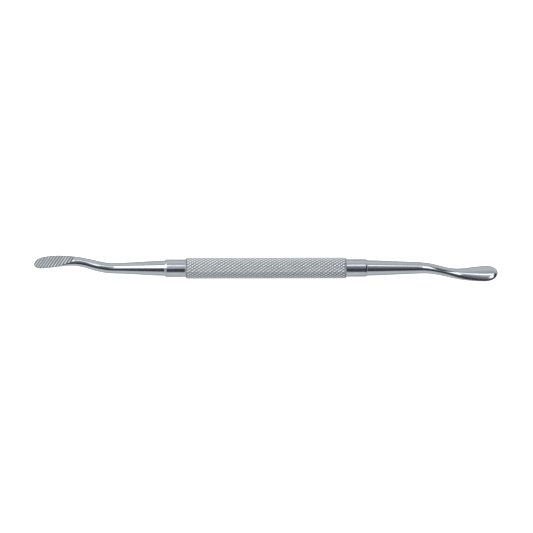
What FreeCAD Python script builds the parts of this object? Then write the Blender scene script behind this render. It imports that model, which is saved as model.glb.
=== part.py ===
"""Double-ended hand file with a hollow knurled grip, in millimetres.

The tool lies along X on a table whose top is at z = -grip_radius. The origin is on the grip's axis, at the
middle of its length. The large file end points along +X with its file face down, and the small end along
-X with its file face up. Every piece is turned, ground or forged steel, and nothing moves.

The real order of assembly is the order of this script: the collars are pressed into the tube, the tangs of
the two file ends are pressed into the collars, and a thin bead of silver braze seals each of the four seams.
Each bead fills the step that it lies in, so it needs no size of its own.
"""

import FreeCAD
import Part

import math
import os

from FreeCAD import Vector

# Grip: a tube with diamond knurling, shown here as the plain cylinder over the knurl's crests.
grip_length = 60.2
grip_radius = 4.0
grip_bore_radius = 2.8
grip_chamfer = 0.45

# Collars: turned plugs, each with a spigot inside the tube and a smooth band outside it.
collar_radius = 3.35
collar_length = 7.8
collar_chamfer_length = 0.6
shoulder_radius = 3.1
spigot_length = 8.0
spigot_lead = 0.4

# Tangs: the round inner ends of the file ends, which fill the collars' bores.
tang_radius = 1.5
tang_length = 14.0
tang_lead = 0.3

# File ends, measured along X from the middle of the grip.
# bend_tilt is the angle above or below the table at which a shank leaves the axis, and face_run_in is the
# length over which the ground face comes to its full depth.
tip_reach = 87.0
bend_tilt = math.radians(42.5)
face_run_in = 6.0
face_stops = 6
section_points = 24

# File teeth: straight grooves cut slantwise across the face. groove_reach is further than any blade's edge.
tooth_pitch = 1.16
tooth_slant = math.radians(35.0)
groove_depth = 0.28
groove_half_width = 0.44
groove_rise = 2.0
groove_reach = 6.0

# Stations of each file end: distance from the grip's middle, half width, half thickness, edge. Up to the
# bend the section is round and its edge is 0. A larger edge thins the back of the blade towards its two
# sides, so that they end in corners. "tip" is the station where the rounded tip begins, "bend" where the
# S bend begins and ends, "offset" how far it carries the shank sideways, and "return_curve" how the blade
# then curves back. "face_tilt" turns the file face about X, in degrees. "face_cut" is the depth ground off
# the face's side, and "rises" is 1 for the raised end.
SMALL_END = {
    "stations": [
        (42.5, 2.74, 2.74, 0.0),
        (47.0, 2.48, 2.48, 0.0),
        (51.5, 2.24, 2.24, 0.0),
        (56.0, 2.04, 2.04, 0.0),
        (60.5, 2.00, 2.00, 0.0),
        (64.5, 2.04, 1.98, 0.0),
        (68.5, 1.86, 1.80, 0.15),
        (72.0, 1.88, 1.60, 0.4),
        (75.5, 2.12, 1.40, 0.7),
        (78.5, 2.36, 1.25, 0.8),
        (81.5, 2.42, 1.10, 0.8),
    ],
    "base_radius": 2.92,
    "tip": (83.8, 2.34, 1.00, 0.8),
    "bend": (57.2, 73.6),
    "offset": 2.79,
    "return_curve": 0.0070,
    "face_tilt": 20.0,
    "face_start": 71.5,
    "face_cut": 0.70,
    "teeth": 13,
    "rises": 1,
}
LARGE_END = {
    "stations": [
        (42.5, 2.84, 2.84, 0.0),
        (47.0, 2.64, 2.64, 0.0),
        (51.5, 2.46, 2.46, 0.0),
        (56.0, 2.28, 2.28, 0.0),
        (60.5, 2.06, 2.06, 0.0),
        (64.5, 1.90, 1.88, 0.0),
        (68.4, 1.84, 1.76, 0.15),
        (71.4, 2.14, 1.64, 0.3),
        (74.4, 2.54, 1.50, 0.4),
        (77.4, 2.91, 1.40, 0.4),
        (80.4, 3.22, 1.30, 0.4),
    ],
    "base_radius": 2.97,
    "tip": (82.8, 3.35, 1.20, 0.4),
    "bend": (58.2, 74.0),
    "offset": 2.35,
    "return_curve": 0.0026,
    "face_tilt": 27.0,
    "face_start": 70.5,
    "face_cut": 0.88,
    "teeth": 13,
    "rises": -1,
}

grip_end = grip_length / 2
collar_end = grip_end + collar_length

along_x = Vector(1, 0, 0)
middle = Vector(0, 0, 0)


def turned(points):
    """A solid of revolution about X from its outline, a list of (x, radius)."""
    corners = [Vector(x, 0, r) for x, r in points]
    face = Part.Face(Part.makePolygon(corners + corners[:1]))
    return face.revolve(middle, along_x, 360)


def other_end(shape):
    """The same piece, turned half a turn about Z so that it points along -X."""
    copy = shape.copy()
    copy.rotate(middle, Vector(0, 0, 1), 180)
    return copy


def grip_tube():
    """Steel tube, bored right through, with a chamfer at each end that runs out to the collar's radius."""
    full = grip_end - grip_chamfer
    return turned(
        [
            (-grip_end, grip_bore_radius),
            (-grip_end, grip_radius - grip_chamfer),
            (-full, grip_radius),
            (full, grip_radius),
            (grip_end, grip_radius - grip_chamfer),
            (grip_end, grip_bore_radius),
        ]
    )


def collar():
    """Turned plug: the spigot fills the tube's bore, and the band's shoulder seats on the tube's end."""
    spigot_end = grip_end - spigot_length
    return turned(
        [
            (spigot_end, tang_radius),
            (spigot_end, grip_bore_radius - spigot_lead),
            (spigot_end + spigot_lead, grip_bore_radius),
            (grip_end, grip_bore_radius),
            (grip_end, collar_radius),
            (collar_end - collar_chamfer_length, collar_radius),
            (collar_end, shoulder_radius),
            (collar_end, tang_radius),
        ]
    )


def bead(seam, inner, outer):
    """Braze on the inner radius, sloping up to the outer one against the flat end at x = seam."""
    return turned([(seam, inner), (seam + outer - inner, inner), (seam, outer)])


def across(end):
    """Unit vectors of a file end: along the blade's width, and out of its file face."""
    rises = end["rises"]
    tilt = math.radians(end["face_tilt"])
    width = Vector(0, math.cos(tilt), rises * math.sin(tilt))
    out_of_face = Vector(0, -math.sin(tilt), rises * math.cos(tilt))
    return width, out_of_face


def sideways(end, x):
    """How far the centre line has left the axis: an S over the bend, then a slow curve back."""
    start, finish = end["bend"]
    if x <= start:
        return 0.0
    if x >= finish:
        return end["offset"] - end["return_curve"] * (x - finish) ** 2
    return end["offset"] * (1 - math.cos(math.pi * (x - start) / (finish - start))) / 2


def centre(end, x):
    """Point of the centre line at x. The bend leaves the axis sideways and up or down at once."""
    away = sideways(end, x)
    return Vector(x, -away, end["rises"] * away * math.tan(bend_tilt))


def section(end, x, half_width, half_thickness, edge):
    """Closed oval across the file end at x: half an ellipse on the face's side, and a thinner back."""
    width, out_of_face = across(end)
    points = []
    for k in range(section_points):
        turn = 2 * math.pi * k / section_points
        rise = math.sin(turn)
        if rise < 0:
            rise = -abs(rise) ** (1 + edge)
        points.append(
            centre(end, x)
            + width * (half_width * math.cos(turn))
            + out_of_face * (half_thickness * rise)
        )
    oval = Part.BSplineCurve()
    oval.interpolate(Points=points, PeriodicFlag=True)
    return Part.Wire(oval.toShape())


def blank(end):
    """The forging: a tapered round shank that bends and flattens into a blade with a rounded tip."""
    base = end["base_radius"]
    sections = [section(end, collar_end, base, base, 0.0)]
    for x, half_width, half_thickness, edge in end["stations"]:
        sections.append(section(end, x, half_width, half_thickness, edge))
    tip_start, half_width, half_thickness, edge = end["tip"]
    for degrees in (0, 30, 52, 68, 80):
        turn = math.radians(degrees)
        x = tip_start + (tip_reach - tip_start) * math.sin(turn)
        shrink = math.cos(turn)
        sections.append(section(end, x, half_width * shrink, half_thickness * shrink, edge))
    return Part.makeLoft(sections, True, False)


def half_thickness_at(end, x):
    """Half thickness of the forging at x, in a straight line between two stations."""
    known = [(s[0], s[2]) for s in end["stations"]] + [(end["tip"][0], end["tip"][2])]
    for (x0, t0), (x1, t1) in zip(known, known[1:]):
        if x0 <= x <= x1:
            return t0 + (t1 - t0) * (x - x0) / (x1 - x0)
    return known[-1][1]


def face_height(end, x):
    """Height of the ground file face over the axis at x, measured out of the face."""
    width, out_of_face = across(end)
    ground = end["face_cut"] * min(1.0, (x - end["face_start"]) / face_run_in)
    return centre(end, x).dot(out_of_face) + half_thickness_at(end, x) - ground


def on_face(end, x, w):
    """Point of the file face at x and at w across the blade."""
    width, out_of_face = across(end)
    return Vector(x, 0, 0) + width * w + out_of_face * face_height(end, x)


def face_cutter(end):
    """Everything outside the file face: a curve along the blade, drawn out across it."""
    width, out_of_face = across(end)
    spacing = (tip_reach + 1.0 - end["face_start"]) / (face_stops - 1)
    stops = [end["face_start"] + spacing * k for k in range(face_stops)]
    curve = Part.BSplineCurve()
    curve.interpolate([on_face(end, x, -groove_reach) for x in stops])
    first = on_face(end, stops[0], -groove_reach)
    last = on_face(end, stops[-1], -groove_reach)
    lift = out_of_face * groove_reach
    edges = [
        curve.toShape(),
        Part.LineSegment(last, last + lift).toShape(),
        Part.LineSegment(last + lift, first + lift).toShape(),
        Part.LineSegment(first + lift, first).toShape(),
    ]
    return Part.Face(Part.Wire(edges)).extrude(width * (2 * groove_reach))


def groove(end, x):
    """One V groove across the file face, slanting over the blade's centre line at x."""
    width, out_of_face = across(end)
    w = centre(end, x).dot(width)
    spot = on_face(end, x, w)
    run = on_face(end, x + 0.5, w) - on_face(end, x - 0.5, w)
    run.normalize()
    lift = run.cross(width) * end["rises"]
    slant = width * math.cos(tooth_slant) + run * math.sin(tooth_slant)
    side = slant.cross(lift)
    start = spot - slant * groove_reach
    deep = start - lift * groove_depth
    top = start + lift * groove_rise
    wide = side * (groove_half_width * (groove_depth + groove_rise) / groove_depth)
    corners = [deep, top + wide, top - wide]
    face = Part.Face(Part.makePolygon(corners + corners[:1]))
    return face.extrude(slant * (2 * groove_reach))


def file_end(end):
    """Tang, shank and toothed blade in one piece, pointing along +X."""
    tang_end = collar_end - tang_length
    tang = turned(
        [
            (tang_end, 0),
            (tang_end, tang_radius - tang_lead),
            (tang_end + tang_lead, tang_radius),
            (collar_end, tang_radius),
            (collar_end, 0),
        ]
    )
    piece = tang.fuse(blank(end)).cut(face_cutter(end))
    for k in range(end["teeth"]):
        piece = piece.cut(groove(end, end["face_start"] + tooth_pitch * (k + 1)))
    return piece


grip = grip_tube()
large_collar = collar()
small_collar = other_end(large_collar)
large_file = file_end(LARGE_END)
small_file = other_end(file_end(SMALL_END))
grip_bead = bead(grip_end, collar_radius, grip_radius - grip_chamfer)
large_bead = bead(collar_end, LARGE_END["base_radius"], shoulder_radius)
small_bead = bead(collar_end, SMALL_END["base_radius"], shoulder_radius)

pieces = {
    "grip_tube": grip,
    "small_end_collar": small_collar,
    "large_end_collar": large_collar,
    "small_file_end": small_file,
    "large_file_end": large_file,
    "small_end_grip_braze": other_end(grip_bead),
    "large_end_grip_braze": grip_bead,
    "small_end_tang_braze": other_end(small_bead),
    "large_end_tang_braze": large_bead,
}

os.makedirs("parts", exist_ok=True)
for name, shape in pieces.items():
    solids = shape.Solids
    print(name, "valid", shape.isValid(), "solids", len(solids), "volume", round(shape.Volume, 1))
    shape.exportStep("parts/" + name + ".step")
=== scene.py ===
import math

import bpy
from mathutils import Matrix, Vector


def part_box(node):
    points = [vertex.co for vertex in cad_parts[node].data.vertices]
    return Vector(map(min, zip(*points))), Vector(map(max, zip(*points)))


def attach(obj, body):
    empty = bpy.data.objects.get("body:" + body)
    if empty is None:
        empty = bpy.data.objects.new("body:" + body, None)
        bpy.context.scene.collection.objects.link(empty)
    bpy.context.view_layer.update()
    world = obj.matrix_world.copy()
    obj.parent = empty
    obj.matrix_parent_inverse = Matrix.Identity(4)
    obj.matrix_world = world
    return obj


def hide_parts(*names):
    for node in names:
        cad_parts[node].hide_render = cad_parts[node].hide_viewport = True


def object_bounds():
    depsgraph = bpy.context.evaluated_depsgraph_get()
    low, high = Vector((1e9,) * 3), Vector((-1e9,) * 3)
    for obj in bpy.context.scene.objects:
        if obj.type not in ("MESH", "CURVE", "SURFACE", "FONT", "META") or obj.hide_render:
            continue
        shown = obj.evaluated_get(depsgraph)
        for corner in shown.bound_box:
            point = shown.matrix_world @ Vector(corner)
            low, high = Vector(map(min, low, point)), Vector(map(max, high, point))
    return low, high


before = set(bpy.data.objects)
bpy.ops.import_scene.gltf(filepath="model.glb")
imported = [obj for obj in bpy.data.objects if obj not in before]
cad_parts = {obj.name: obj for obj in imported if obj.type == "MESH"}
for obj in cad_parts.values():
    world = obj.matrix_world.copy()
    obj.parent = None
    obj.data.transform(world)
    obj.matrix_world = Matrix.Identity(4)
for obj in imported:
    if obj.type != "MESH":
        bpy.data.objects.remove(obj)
cad_low, cad_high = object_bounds()

# ---------------------------------------------------------------------------------------------------------
# Grip: a stainless steel tube, 8 mm across and bored through. Two knurling wheels roll one hand of helix
# each into it, which leaves rows of small flat-topped diamonds, and both ends are then chamfered.
# ---------------------------------------------------------------------------------------------------------
mm = 0.001
grip_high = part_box("grip_tube")[1]
grip_end = grip_high.x
grip_radius = grip_high.z
grip_bore = 2.8 * mm
grip_chamfer = 0.45 * mm
blank_margin = 0.05 * mm
weld = 0.001 * mm

# The knurl: each wheel cuts knurl_rows grooves at knurl_helix to the axis. A diamond's flank rises by
# flank_rise over flank_width, and then to the flat crest over crest_edge. The second wheel's grooves are
# narrower, because each crest reaches crest_stretch further into them.
knurl_rows = 21
knurl_helix = math.radians(35.7)
knurl_depth = 0.18 * mm
flank_width = 0.25 * mm
flank_rise = 0.155 * mm
crest_edge = 0.05 * mm
crest_stretch = 0.13 * mm
knurl_weld = 0.005 * mm
spare_columns = 2

root_radius = grip_radius - knurl_depth
row_pitch = 2 * math.pi * root_radius / knurl_rows
column_pitch = 2 * math.pi * grip_radius / knurl_rows / math.tan(knurl_helix)
knurl_lean = math.atan2(row_pitch, column_pitch)
knurl_columns = math.ceil(2 * grip_end / column_pitch) + spare_columns


class Shade:
    """One output of a material's node tree. Arithmetic on it adds Math nodes."""

    def __init__(self, tree, socket=None):
        self.tree = tree
        self.socket = socket

    def node(self, kind, settings, sockets, output=0):
        """Any other node: its settings are made first, then its sockets are set or linked."""
        made = self.tree.nodes.new(kind)
        for name, value in settings.items():
            if name == "stops":
                ramp = made.color_ramp.elements
                for stop, (place, level) in zip(ramp, value):
                    stop.position = place
                    stop.color = (level, level, level, 1.0)
            else:
                setattr(made, name, value)
        for name, value in sockets.items():
            if isinstance(value, Shade):
                self.tree.links.new(value.socket, made.inputs[name])
            else:
                made.inputs[name].default_value = value
        return Shade(self.tree, made.outputs[output])

    def maths(self, operation, first, second):
        return self.node("ShaderNodeMath", {"operation": operation}, {0: first, 1: second})

    def __add__(self, other):
        return self.maths("ADD", self, other)

    __radd__ = __add__

    def __sub__(self, other):
        return self.maths("SUBTRACT", self, other)

    def __rsub__(self, other):
        return self.maths("SUBTRACT", other, self)

    def __mul__(self, other):
        return self.maths("MULTIPLY", self, other)

    __rmul__ = __mul__

    def stretched(self, along, around):
        """These coordinates scaled to count cycles per metre, along X and around it."""
        return self.node(
            "ShaderNodeVectorMath", {"operation": "MULTIPLY"}, {0: self, 1: (along, around, around)}
        )

    def noise(self, detail=2.0):
        """Cloudy noise from 0 to 1 on these coordinates."""
        return self.node("ShaderNodeTexNoise", {}, {"Vector": self, "Scale": 1.0, "Detail": detail})

    def ramp(self, *stops):
        """This value through a ramp of (place, level) stops."""
        return self.node("ShaderNodeValToRGB", {"stops": stops}, {0: self})

    def blend(self, at_zero, at_one):
        """A colour between two others, by this value. A Mix node's colours are its inputs 6 and 7."""
        return self.node(
            "ShaderNodeMix", {"data_type": "RGBA"}, {"Factor": self, 6: (*at_zero, 1.0), 7: (*at_one, 1.0)}, 2
        )


def bare_metal(name):
    """A bare metal material: it, its shader, and the object coordinates to paint it by."""
    made = bpy.data.materials.new(name)
    made.use_nodes = True
    shader = made.node_tree.nodes["Principled BSDF"]
    shader.inputs["Metallic"].default_value = 1.0
    place = Shade(made.node_tree).node("ShaderNodeTexCoord", {}, {}, "Object")
    return made, shader, place


def feed(shader, **sockets):
    """Links values to the shader's sockets, named with _ for a space."""
    for name, value in sockets.items():
        value.tree.links.new(value.socket, shader.inputs[name.replace("_", " ")])


def bumped(height, depth):
    """The surface normal over a height from 0 to 1, depth metres high."""
    return height.node("ShaderNodeBump", {}, {"Strength": 1.0, "Distance": depth, "Height": height}, "Normal")


def turned(name, outline, sides=96):
    """A closed ring along X: a circle drawn through an outline of (x, radius), as a lathe cuts it."""
    x, radius = outline[0]
    bpy.ops.object.select_all(action="DESELECT")
    bpy.ops.mesh.primitive_circle_add(
        vertices=sides, radius=radius, location=(x, 0, 0), rotation=(0, math.pi / 2, 0)
    )
    bpy.ops.object.transform_apply(location=True, rotation=True)
    piece = bpy.context.object
    piece.name = name
    bpy.ops.object.mode_set(mode="EDIT")
    bpy.ops.mesh.select_all(action="SELECT")
    for (x0, r0), (x1, r1) in zip(outline, outline[1:] + outline[:1]):
        bpy.ops.mesh.extrude_region_move(TRANSFORM_OT_translate={"value": (x1 - x0, 0, 0)})
        bpy.ops.transform.resize(value=(1, r1 / r0, r1 / r0), center_override=(x1, 0, 0))
    bpy.ops.mesh.select_all(action="SELECT")
    bpy.ops.mesh.remove_doubles(threshold=weld)
    bpy.ops.mesh.normals_make_consistent(inside=False)
    bpy.ops.object.mode_set(mode="OBJECT")
    return piece


def apply_modifier(piece, kind, **settings):
    """Adds one modifier with these settings and applies it."""
    bpy.ops.object.select_all(action="DESELECT")
    piece.select_set(True)
    bpy.context.view_layer.objects.active = piece
    bpy.ops.object.modifier_add(type=kind)
    modifier = piece.modifiers[-1]
    for name, value in settings.items():
        setattr(modifier, name, value)
    bpy.ops.object.modifier_apply(modifier=modifier.name)


def finish_piece(piece, node, material=None, smooth_angle=30.0):
    """Smooths a piece, gives it its finish and lets it stand for its node."""
    bpy.ops.object.select_all(action="DESELECT")
    piece.select_set(True)
    bpy.context.view_layer.objects.active = piece
    bpy.ops.object.shade_smooth_by_angle(angle=math.radians(smooth_angle))
    if material:
        piece.data.materials.clear()
        piece.data.materials.append(material)
    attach(piece, "root")
    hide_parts(node)


def knurled_sheet():
    """One flat-topped diamond, copied over a sheet, rolled up along X and capped past both grip ends."""
    bpy.ops.object.select_all(action="DESELECT")
    bpy.ops.mesh.primitive_circle_add(
        vertices=4, radius=column_pitch / 2, fill_type="NGON", rotation=(math.pi / 2, 0, 0)
    )
    bpy.ops.object.transform_apply(rotation=True)
    sheet = bpy.context.object
    bpy.ops.object.mode_set(mode="EDIT")
    bpy.ops.mesh.select_all(action="SELECT")
    bpy.ops.transform.resize(value=(1, 1, row_pitch / column_pitch))
    bpy.ops.mesh.inset(thickness=flank_width, depth=flank_rise)
    bpy.ops.mesh.inset(thickness=crest_edge, depth=knurl_depth - flank_rise)
    bpy.ops.object.mode_set(mode="OBJECT")
    along_groove = Vector((math.cos(knurl_lean), 0, math.sin(knurl_lean)))
    slide = crest_stretch / math.sin(2 * knurl_lean)
    for vertex in sheet.data.vertices:
        if abs(vertex.co.y) > flank_rise / 2:
            across = vertex.co.x * math.sin(knurl_lean) + vertex.co.z * math.cos(knurl_lean)
            vertex.co += along_groove * math.copysign(slide, across)
    bpy.ops.object.mode_set(mode="EDIT")
    bpy.ops.mesh.select_all(action="SELECT")
    bpy.ops.mesh.duplicate_move(TRANSFORM_OT_translate={"value": (column_pitch / 2, 0, row_pitch / 2)})
    bpy.ops.mesh.select_all(action="SELECT")
    bpy.ops.transform.translate(value=(-column_pitch * knurl_columns / 2, 0, 0))
    bpy.ops.object.mode_set(mode="OBJECT")
    for count, step in ((knurl_columns, (column_pitch, 0, 0)), (knurl_rows, (0, 0, row_pitch))):
        apply_modifier(
            sheet,
            "ARRAY",
            count=count,
            use_relative_offset=False,
            use_constant_offset=True,
            constant_offset_displace=step,
        )
    # The second row of diamonds makes the sheet half a row higher than one turn, so it is rolled further.
    rolled = 2 * math.pi * (knurl_rows + 0.5) / knurl_rows
    apply_modifier(sheet, "SIMPLE_DEFORM", deform_method="BEND", deform_axis="X", angle=rolled)
    bpy.ops.object.mode_set(mode="EDIT")
    bpy.ops.mesh.select_all(action="SELECT")
    bpy.ops.transform.translate(value=(0, -root_radius, 0))
    bpy.ops.mesh.remove_doubles(threshold=knurl_weld)
    for side in (-1, 1):
        bpy.ops.mesh.select_all(action="SELECT")
        bpy.ops.mesh.bisect(
            plane_co=(side * (grip_end + column_pitch / 4), 0, 0),
            plane_no=(side, 0, 0),
            use_fill=True,
            clear_outer=True,
        )
    bpy.ops.mesh.select_all(action="SELECT")
    bpy.ops.mesh.normals_make_consistent(inside=False)
    bpy.ops.object.mode_set(mode="OBJECT")
    return sheet


def knurled_steel():
    """Satin steel, duller down in the grooves and smoother on the crests. Its colour is painted shade down in
    the grooves and a painted highlight on the crests, set by height, with random tone on the crests.
    """
    made, shader, place = bare_metal("knurled_steel")
    flat = place.node("ShaderNodeVectorMath", {"operation": "MULTIPLY"}, {0: place, 1: (0, 1, 1)})
    radius = flat.node("ShaderNodeVectorMath", {"operation": "LENGTH"}, {0: flat}, "Value")
    height = (radius - root_radius) * (1 / knurl_depth)
    crest = height.ramp((0.35, 0.0), (0.95, 1.0))
    cloud = place.stretched(along=700, around=900).noise()
    grain = place.stretched(along=9000, around=9000).noise(detail=4.0)
    # Painted light and shade: the colour runs from dark down in the grooves to near white on the crests, by
    # height alone.
    painted_shade_and_highlight = crest * (0.8 + 0.2 * cloud)
    feed(
        shader,
        Base_Color=painted_shade_and_highlight.blend((0.31, 0.325, 0.335), (0.95, 0.97, 0.975)),
        Roughness=0.38 - 0.10 * crest + 0.08 * grain,
        Normal=bumped(grain, depth=0.004 * mm),
    )
    return made


# The knurled sheet is trimmed to a turned blank, which has the bore and chamfers and clears the crests.
grip = knurled_sheet()
blank = turned(
    "grip_blank",
    [
        (-grip_end, grip_bore),
        (-grip_end, grip_radius - grip_chamfer),
        (-grip_end + grip_chamfer + blank_margin, grip_radius + blank_margin),
        (grip_end - grip_chamfer - blank_margin, grip_radius + blank_margin),
        (grip_end, grip_radius - grip_chamfer),
        (grip_end, grip_bore),
    ],
)
apply_modifier(grip, "BOOLEAN", operation="INTERSECT", solver="EXACT", object=blank)
bpy.data.objects.remove(blank)
grip.name = "knurled_grip"
finish_piece(grip, "grip_tube", knurled_steel(), smooth_angle=15.0)

# ---------------------------------------------------------------------------------------------------------
# Collars: two plugs turned from stainless bar. A spigot is pressed 8 mm into the grip tube, and the smooth
# band that stays outside is polished on the lathe, so it has faint rings round it.
# ---------------------------------------------------------------------------------------------------------
collar_low, collar_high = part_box("large_end_collar")
collar_end = collar_high.x
spigot_end = collar_low.x
collar_radius = collar_high.z
shoulder_radius = 3.1 * mm
collar_chamfer = 0.6 * mm
spigot_radius = grip_bore - 0.01 * mm
spigot_lead = 0.4 * mm
collar_bore = 1.5 * mm
collar_sides = 128
edge_radius = 0.05 * mm
edge_angle = math.radians(20)
# A ring this far inside each end of the band keeps the band's own shading straight.
shade_stop = 0.15 * mm


def turned_steel():
    """Polished steel with fine turning rings, a little duller in patches where it is handled."""
    made, shader, place = bare_metal("turned_steel")
    rings = place.stretched(along=14000, around=60).noise(detail=3.0)
    handled = place.stretched(along=260, around=420).noise(detail=3.0).ramp((0.4, 0.0), (0.7, 1.0))
    feed(
        shader,
        Base_Color=handled.blend((0.56, 0.58, 0.60), (0.50, 0.52, 0.54)),
        Roughness=0.10 + 0.05 * rings + 0.05 * handled,
        Normal=bumped(rings, depth=0.0006 * mm),
    )
    return made


turned_finish = turned_steel()
for side, node in ((-1, "small_end_collar"), (1, "large_end_collar")):
    collar = turned(
        node.replace("collar", "plug"),
        [
            (side * spigot_end, collar_bore),
            (side * spigot_end, spigot_radius - spigot_lead),
            (side * (spigot_end + spigot_lead), spigot_radius),
            (side * grip_end, spigot_radius),
            (side * grip_end, collar_radius),
            (side * (grip_end + shade_stop), collar_radius),
            (side * (collar_end - collar_chamfer - shade_stop), collar_radius),
            (side * (collar_end - collar_chamfer), collar_radius),
            (side * collar_end, shoulder_radius),
            (side * collar_end, collar_bore),
        ],
        collar_sides,
    )
    apply_modifier(collar, "BEVEL", width=edge_radius, segments=3, angle_limit=edge_angle)
    finish_piece(collar, node, turned_finish)

# ---------------------------------------------------------------------------------------------------------
# File ends: each is forged from one stainless bar, from the tang that is pressed into its collar to the
# blade. The shank is polished, the blade's face is ground flat, and the teeth are cut slantwise across it.
# ---------------------------------------------------------------------------------------------------------
tang_radius = 1.49 * mm
tang_end = 23.8 * mm
tang_lead = 0.3 * mm
tip_reach = 87.0 * mm
bend_tilt = math.radians(42.5)
face_run_in = 6.0 * mm
ring_sides = 24
ring_spacing = 2.0 * mm
tip_turns = (25, 45, 60, 72, 82)
forging_levels = 3
grinding_steps = 14
tooth_pitch = 1.16 * mm
tooth_slant = math.radians(35.0)
groove_depth = 0.28 * mm
groove_half_width = 0.37 * mm
# Half the height of the bar that cuts a groove, and how far both cutters reach across the blade.
groove_bar = 0.30 * mm
blade_room = 12.0 * mm
just_inside = 0.001 * mm
rounding = 1e-9

# Stations of an end, in millimetres: distance from the grip's middle, half width, half thickness, and the
# edge, which is 0 where the section is round and larger where the back thins towards the blade's sides.
# The rounded tip begins at the last station. "bend" is where the S bend begins and ends, "offset" how far it
# carries the shank sideways, and "return_curve" how the blade then curves back. "face_tilt" turns the file
# face about X, "face_cut" is the depth ground off it, and "rises" is 1 for the end whose face looks up.
small_end = {
    "node": "small_file_end",
    "stations": [
        (37.9, 2.92, 2.92, 0.0),
        (42.5, 2.74, 2.74, 0.0),
        (47.0, 2.48, 2.48, 0.0),
        (51.5, 2.24, 2.24, 0.0),
        (56.0, 2.04, 2.04, 0.0),
        (60.5, 2.00, 2.00, 0.0),
        (64.5, 2.04, 1.98, 0.0),
        (68.5, 1.86, 1.80, 0.15),
        (72.0, 1.88, 1.60, 0.4),
        (75.5, 2.12, 1.40, 0.7),
        (78.5, 2.36, 1.25, 0.8),
        (81.5, 2.42, 1.10, 0.8),
        (83.8, 2.34, 1.00, 0.8),
    ],
    "bend": (57.2, 73.6),
    "offset": 2.79,
    "return_curve": 0.0070,
    "face_tilt": math.radians(20.0),
    "face_start": 71.5,
    "face_cut": 0.70,
    "teeth": 13,
    "rises": 1,
    "turn": math.pi,
}
large_end = {
    "node": "large_file_end",
    "stations": [
        (37.9, 2.97, 2.97, 0.0),
        (42.5, 2.84, 2.84, 0.0),
        (47.0, 2.64, 2.64, 0.0),
        (51.5, 2.46, 2.46, 0.0),
        (56.0, 2.28, 2.28, 0.0),
        (60.5, 2.06, 2.06, 0.0),
        (64.5, 1.90, 1.88, 0.0),
        (68.4, 1.84, 1.76, 0.15),
        (71.4, 2.14, 1.64, 0.3),
        (74.4, 2.54, 1.50, 0.4),
        (77.4, 2.91, 1.40, 0.4),
        (80.4, 3.22, 1.30, 0.4),
        (82.8, 3.35, 1.20, 0.4),
    ],
    "bend": (58.2, 74.0),
    "offset": 2.35,
    "return_curve": 0.0026,
    "face_tilt": math.radians(27.0),
    "face_start": 70.5,
    "face_cut": 0.88,
    "teeth": 13,
    "rises": -1,
    "turn": 0.0,
}


def sizes_at(end, x):
    """Half width, half thickness and edge at x, on a smooth curve through the stations."""
    known = [(x_mm * mm, width * mm, thick * mm, edge) for x_mm, width, thick, edge in end["stations"]]
    k = max(i for i in range(len(known) - 1) if known[i][0] <= x + rounding)
    x0, x1 = known[k][0], known[k + 1][0]
    t = (x - x0) / (x1 - x0)
    found = []
    for column in (1, 2, 3):
        slopes = []
        for i in (k, k + 1):
            before, after = known[max(i - 1, 0)], known[min(i + 1, len(known) - 1)]
            slopes.append((after[column] - before[column]) / (after[0] - before[0]) * (x1 - x0))
        y0, y1 = known[k][column], known[k + 1][column]
        found.append(
            y0 * (1 + 2 * t) * (1 - t) ** 2
            + slopes[0] * t * (1 - t) ** 2
            + y1 * t * t * (3 - 2 * t)
            + slopes[1] * t * t * (t - 1)
        )
    return found


def centre_at(end, x):
    """The centre line's (x, y, z) before the end is turned to its face tilt."""
    start, finish = (value * mm for value in end["bend"])
    offset = end["offset"] * mm
    if x <= start:
        away = 0.0
    elif x >= finish:
        away = offset - end["return_curve"] / mm * (x - finish) ** 2
    else:
        away = offset * (1 - math.cos(math.pi * (x - start) / (finish - start))) / 2
    climb, tilt = math.tan(bend_tilt), end["face_tilt"]
    return (
        x,
        away * (climb * math.sin(tilt) - math.cos(tilt)),
        end["rises"] * away * (math.sin(tilt) + climb * math.cos(tilt)),
    )


def face_at(end, x):
    """Height of the ground file face at x, on the side that it faces."""
    tip_start = end["stations"][-1][0] * mm
    start = end["face_start"] * mm
    thickness = sizes_at(end, min(x, tip_start - just_inside))[1]
    ground = end["face_cut"] * mm * min(1.0, max(0.0, x - start) / face_run_in)
    return centre_at(end, x)[2] + end["rises"] * (thickness - ground)


def thin_the_back(end, piece):
    """Hammers the blade's back from half an ellipse into a dome that meets the face's side in a corner."""
    tip_start = end["stations"][-1][0] * mm
    last_round = max(station[0] for station in end["stations"] if station[3] == 0) * mm
    for vertex in piece.data.vertices:
        x = vertex.co.x
        if x <= last_round or x >= tip_reach:
            continue
        thickness, edge = sizes_at(end, min(x, tip_start - just_inside))[1:]
        if x > tip_start:
            thickness *= math.sqrt(1 - ((x - tip_start) / (tip_reach - tip_start)) ** 2)
        middle = centre_at(end, x)[2]
        depth = (middle - vertex.co.z) * end["rises"]
        if depth > 0:
            vertex.co.z = middle - end["rises"] * thickness * (depth / thickness) ** (1 + edge)


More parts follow.
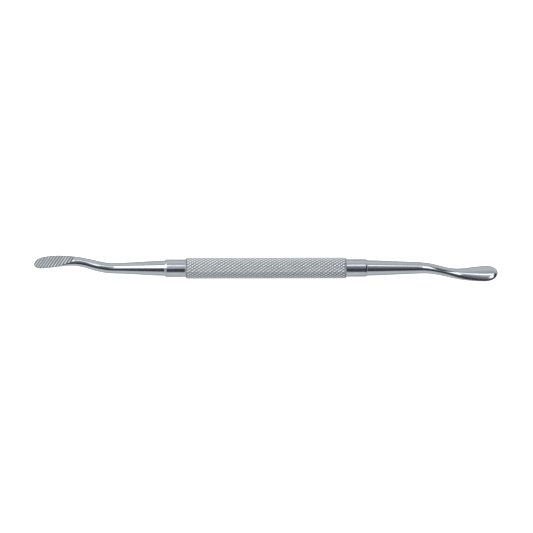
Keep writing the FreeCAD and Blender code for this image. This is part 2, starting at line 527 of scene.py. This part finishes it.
def forged(end):
    """The forging before its face is ground: rings extruded from the tang to the tip, then subdivided.

    Subdividing draws a ring in, so it is made larger by swell. A ring is its middle, its half width and half
    thickness, and whether its edge is sharp.
    """
    swell = 6 / (4 + 2 * math.cos(2 * math.pi / ring_sides))
    base = end["stations"][0][0] * mm
    tip_start = end["stations"][-1][0] * mm
    rings = [
        (tang_end, 0, 0, tang_radius - tang_lead, tang_radius - tang_lead, True),
        (tang_end + tang_lead, 0, 0, tang_radius, tang_radius, True),
        (base, 0, 0, tang_radius, tang_radius, True),
    ]
    steps = round((tip_start - base) / ring_spacing)
    for k in range(steps + 1):
        x = base + (tip_start - base) * k / steps
        rings.append((*centre_at(end, x), *sizes_at(end, x)[:2], k == 0))
    width, thickness = sizes_at(end, tip_start)[:2]
    for degrees in tip_turns:
        turn = math.radians(degrees)
        x = tip_start + (tip_reach - tip_start) * math.sin(turn)
        rings.append((*centre_at(end, x), width * math.cos(turn), thickness * math.cos(turn), False))

    bpy.ops.object.select_all(action="DESELECT")
    bpy.ops.mesh.primitive_circle_add(
        vertices=ring_sides,
        radius=rings[0][3] * swell,
        fill_type="NGON",
        location=rings[0][:3],
        rotation=(0, math.pi / 2, 0),
    )
    bpy.ops.object.transform_apply(location=True, rotation=True)
    piece = bpy.context.object
    bpy.ops.object.mode_set(mode="EDIT")
    bpy.ops.mesh.select_all(action="SELECT")
    bpy.ops.transform.edge_crease(value=1.0)
    bpy.ops.mesh.select_mode(type="EDGE")
    for before, ring in zip(rings, rings[1:]):
        shift = [after - was for was, after in zip(before[:3], ring[:3])]
        bpy.ops.mesh.extrude_region_move(TRANSFORM_OT_translate={"value": shift})
        bpy.ops.transform.resize(
            value=(1, ring[3] / before[3], ring[4] / before[4]), center_override=ring[:3]
        )
        if not before[5] or not ring[5]:
            bpy.ops.transform.edge_crease(value=1.0 if ring[5] else -1.0)
    last = rings[-1]
    tip = centre_at(end, tip_reach)
    bpy.ops.mesh.extrude_region_move(
        TRANSFORM_OT_translate={"value": [after - was for was, after in zip(last[:3], tip)]}
    )
    bpy.ops.mesh.merge(type="CENTER")
    bpy.ops.mesh.select_all(action="SELECT")
    bpy.ops.mesh.normals_make_consistent(inside=False)
    bpy.ops.object.mode_set(mode="OBJECT")
    apply_modifier(piece, "SUBSURF", levels=forging_levels, render_levels=forging_levels)
    thin_the_back(end, piece)
    return piece


def grinding_bar(end):
    """What the grinding wheel takes off: a bar that follows the file face out past the tip."""
    start = end["face_start"] * mm
    stops = [start + (tip_reach + mm - start) * k / grinding_steps for k in range(grinding_steps + 1)]
    height = blade_room / 2
    bpy.ops.object.select_all(action="DESELECT")
    bpy.ops.mesh.primitive_plane_add(
        size=1.0,
        location=(start, 0, face_at(end, start) + end["rises"] * height / 2),
        rotation=(0, math.pi / 2, 0),
    )
    bpy.ops.object.transform_apply(location=True, rotation=True)
    bar = bpy.context.object
    bpy.ops.object.mode_set(mode="EDIT")
    bpy.ops.mesh.select_all(action="SELECT")
    bpy.ops.transform.resize(
        value=(1, blade_room, height),
        center_override=(start, 0, face_at(end, start) + end["rises"] * height / 2),
    )
    for before, x in zip(stops, stops[1:]):
        rise = face_at(end, x) - face_at(end, before)
        bpy.ops.mesh.extrude_region_move(TRANSFORM_OT_translate={"value": (x - before, 0, rise)})
    bpy.ops.mesh.select_all(action="SELECT")
    bpy.ops.mesh.normals_make_consistent(inside=False)
    bpy.ops.object.mode_set(mode="OBJECT")
    return bar


def groove_bars(end):
    """The cutter's path for every groove: four-sided bars, edge down, lying slantwise across the face.

    The first bar is an object, and the others are added to it in edit mode.
    """
    bars = None
    step = 0.5 * mm
    for k in range(end["teeth"]):
        x = end["face_start"] * mm + tooth_pitch * (k + 1)
        slope = math.atan2(face_at(end, x + step) - face_at(end, x - step), 2 * step)
        aim = (
            Matrix.Rotation(-slope, 3, "Y")
            @ Matrix.Rotation(-tooth_slant, 3, "Z")
            @ Matrix.Rotation(math.pi / 2, 3, "X")
        )
        lift = end["rises"] * (groove_bar - groove_depth)
        place = (x, centre_at(end, x)[1], face_at(end, x) + lift)
        if bars is None:
            bpy.ops.object.select_all(action="DESELECT")
        bpy.ops.mesh.primitive_cylinder_add(
            vertices=4,
            radius=groove_bar,
            depth=blade_room,
            location=place,
            rotation=aim.to_euler(),
            scale=(groove_half_width / groove_depth, 1, 1),
        )
        if bars is None:
            bpy.ops.object.transform_apply(location=True, rotation=True)
            bars = bpy.context.object
            bpy.ops.object.mode_set(mode="EDIT")
    bpy.ops.object.mode_set(mode="OBJECT")
    return bars


def polished_steel():
    """Mirror-polished forging: long faint polishing scratches, and duller smears along them."""
    made, shader, place = bare_metal("polished_steel")
    scratches = place.stretched(along=120, around=9000).noise(detail=3.0)
    smear = place.stretched(along=60, around=500).noise(detail=3.0).ramp((0.35, 0.0), (0.75, 1.0))
    feed(
        shader,
        Base_Color=smear.blend((0.56, 0.58, 0.60), (0.50, 0.52, 0.54)),
        Roughness=0.08 + 0.04 * scratches + 0.05 * smear,
        Normal=bumped(scratches, depth=0.0005 * mm),
    )
    return made


def ground_steel():
    """The lands between the teeth: ground flat, with the wheel's grain along the blade."""
    made, shader, place = bare_metal("ground_steel")
    grain = place.stretched(along=500, around=12000).noise(detail=4.0)
    feed(
        shader,
        Base_Color=grain.blend((0.46, 0.475, 0.49), (0.56, 0.575, 0.59)),
        Roughness=0.32 + 0.12 * grain,
        Normal=bumped(grain, depth=0.003 * mm),
    )
    return made


def painted_shade_groove_steel():
    """The sides of the grooves between the teeth, torn a little by the cutter and never polished. Their
    darker colour is painted shade down in the grooves.
    """
    made, shader, place = bare_metal("painted_shade_groove_steel")
    grain = place.stretched(along=6000, around=6000).noise(detail=4.0)
    # Base colour: painted shade, darker than the ground lands because these faces lie down in the grooves.
    feed(
        shader,
        Base_Color=grain.blend((0.29, 0.30, 0.315), (0.39, 0.405, 0.42)),
        Roughness=0.26 + 0.10 * grain,
        Normal=bumped(grain, depth=0.002 * mm),
    )
    return made


polished_finish = polished_steel()
ground_finish = ground_steel()
painted_shade_groove_finish = painted_shade_groove_steel()
for end in (small_end, large_end):
    piece = forged(end)
    piece.name = end["node"].replace("_end", "_forging")
    piece.data.materials.append(polished_finish)
    bar = grinding_bar(end)
    bar.data.materials.append(ground_finish)
    bars = groove_bars(end)
    # The groove sides carry painted shade in their colour.
    bars.data.materials.append(painted_shade_groove_finish)
    for cutter in (bar, bars):
        apply_modifier(
            piece,
            "BOOLEAN",
            operation="DIFFERENCE",
            solver="EXACT",
            object=cutter,
            material_mode="TRANSFER",
        )
        bpy.data.objects.remove(cutter)
    piece.rotation_euler = (end["rises"] * end["face_tilt"], 0, 0)
    bpy.ops.object.transform_apply(rotation=True)
    piece.rotation_euler = (0, 0, end["turn"])
    bpy.ops.object.transform_apply(rotation=True)
    finish_piece(piece, end["node"])

# ---------------------------------------------------------------------------------------------------------
# Braze beads: silver braze, melted into the step at each of the four seams and wiped while hot, so that
# each is a thin hollow-faced ring which seals the tube.
# ---------------------------------------------------------------------------------------------------------
bead_sag = 0.3
bead_smooth_angle = 60.0


def silver_braze():
    """Silver braze: a paler and warmer metal than steel, with soft ripples where it froze."""
    made, shader, place = bare_metal("silver_braze")
    ripple = place.stretched(along=900, around=1400).noise()
    feed(
        shader,
        Base_Color=ripple.blend((0.72, 0.71, 0.67), (0.82, 0.81, 0.77)),
        Roughness=0.20 + 0.12 * ripple,
        Normal=bumped(ripple, depth=0.006 * mm),
    )
    return made


braze_finish = silver_braze()
chamfer_foot = grip_radius - grip_chamfer
seams = (
    ("small_end_grip_braze", -1, grip_end, collar_radius, chamfer_foot),
    ("large_end_grip_braze", 1, grip_end, collar_radius, chamfer_foot),
    ("small_end_tang_braze", -1, collar_end, small_end["stations"][0][1] * mm, shoulder_radius),
    ("large_end_tang_braze", 1, collar_end, large_end["stations"][0][1] * mm, shoulder_radius),
)
for node, side, seam, inner, outer in seams:
    leg = outer - inner
    bead = turned(
        node.replace("braze", "bead"),
        [
            (side * seam, inner),
            (side * (seam + leg), inner),
            (side * (seam + bead_sag * leg), inner + bead_sag * leg),
            (side * seam, outer),
        ],
    )
    finish_piece(bead, node, braze_finish, bead_smooth_angle)

# ---------------------------------------------------------------------------------------------------------
# Table, lights and camera: the tool lies on a white light table, under softboxes and strip lights. Between
# them hang sheets of felt, which the polished steel mirrors dark. The camera looks straight down at the tool.
# ---------------------------------------------------------------------------------------------------------
scene = bpy.context.scene
scene.view_settings.view_transform = "Standard"

table_size = 3.0
bpy.ops.object.select_all(action="DESELECT")
bpy.ops.mesh.primitive_plane_add(size=table_size, location=(0, 0, cad_low.z))
bpy.ops.object.transform_apply(location=True)
table = bpy.context.object
table.name = "light_table"
table_finish = bpy.data.materials.new("white_light_table")
table_finish.use_nodes = True
table_shader = table_finish.node_tree.nodes["Principled BSDF"]
table_shader.inputs["Base Color"].default_value = (0.85, 0.85, 0.85, 1.0)
table_shader.inputs["Roughness"].default_value = 0.8
table_shader.inputs["Specular IOR Level"].default_value = 0.0
table_shader.inputs["Emission Color"].default_value = (1.0, 1.0, 1.0, 1.0)
table_shader.inputs["Emission Strength"].default_value = 0.95
table.data.materials.append(table_finish)
# The steel mirrors the room and the lights, but not the table.
table.visible_glossy = False

world = bpy.data.worlds.new("studio")
scene.world = world
world.use_nodes = True
room = world.node_tree.nodes["Background"]
room.inputs["Color"].default_value = (0.56, 0.59, 0.62, 1.0)
room.inputs["Strength"].default_value = 1.0

hanging_height = 0.5


def hung(obj, low_angle, high_angle, low_x, high_x):
    """Hangs a flat rectangle over the tool, and returns its length and width.

    It reaches from one angle off the vertical to another, in degrees towards +Y, and from low_x to high_x.
    """
    near = hanging_height * math.tan(math.radians(low_angle))
    far = hanging_height * math.tan(math.radians(high_angle))
    obj.location = ((low_x + high_x) / 2, (near + far) / 2, hanging_height)
    obj.visible_camera = False
    return high_x - low_x, far - near


def softbox(name, strength, *place):
    """A soft light hung over the tool. At a strength of 1 its face is as bright as plain white."""
    light = bpy.data.lights.new(name, "AREA")
    light.shape = "RECTANGLE"
    lamp = bpy.data.objects.new(name, light)
    scene.collection.objects.link(lamp)
    light.size, light.size_y = hung(lamp, *place)
    light.energy = strength * light.size * light.size_y * math.pi
    return lamp


# Each light's strength, then its two angles and its two ends along X.
softbox("left_softbox", 2.2, 6.0, 42.0, -1.0, -0.072)
softbox("right_softbox", 2.2, 5.0, 22.0, 0.16, 0.33)
softbox("left_strip", 1.7, 30.0, 36.5, -0.3, 0.0)
softbox("right_strip", 1.7, 30.0, 39.5, 0.0, 0.33)
softbox("key_softbox", 1.6, 44.0, 72.0, -1.4, -0.30)

panel_strength = 0.22
panel_distance = 1.2
panel_height = 0.12
for side in (-1, 1):
    panel = softbox("side_panel", panel_strength, -46.0, 46.0, -1.0, 1.0)
    panel.location = (0, side * panel_distance, panel_height)
    panel.rotation_euler = (-side * math.pi / 2, 0, 0)


def flag(name, colour, *place):
    """A sheet of felt hung over the tool, which the polished steel mirrors as a dark band."""
    bpy.ops.object.select_all(action="DESELECT")
    bpy.ops.mesh.primitive_plane_add(size=1.0)
    sheet = bpy.context.object
    sheet.name = name
    length, width = hung(sheet, *place)
    sheet.scale = (length, width, 1.0)
    sheet.visible_shadow = False
    sheet.visible_diffuse = False
    felt = bpy.data.materials.new(name)
    felt.use_nodes = True
    felt_shader = felt.node_tree.nodes["Principled BSDF"]
    felt_shader.inputs["Base Color"].default_value = (*colour, 1.0)
    felt_shader.inputs["Specular IOR Level"].default_value = 0.0
    sheet.data.materials.append(felt)


# Each felt's colour, then its two angles and its two ends along X.
flag("black_felt", (0.045, 0.048, 0.062), -52.0, -8.0, -0.25, 0.33)
flag("far_felt", (0.03, 0.032, 0.04), -68.0, 40.0, 0.34, 1.4)
flag("grey_felt", (0.16, 0.16, 0.18), -8.0, 16.0, -0.02, 0.155)

view_width = 199.9 * mm
view_middle = (0.17 * mm, 0.57 * mm)
view_roll = math.radians(-0.085)
lens_length = 400.0
sensor_width = 36.0
lens = bpy.data.cameras.new("camera")
lens.lens = lens_length
lens.sensor_width = sensor_width
camera = bpy.data.objects.new("camera", lens)
scene.collection.objects.link(camera)
camera.location = (*view_middle, view_width * lens_length / sensor_width)
camera.rotation_euler = (0.0, 0.0, view_roll)
scene.camera = camera
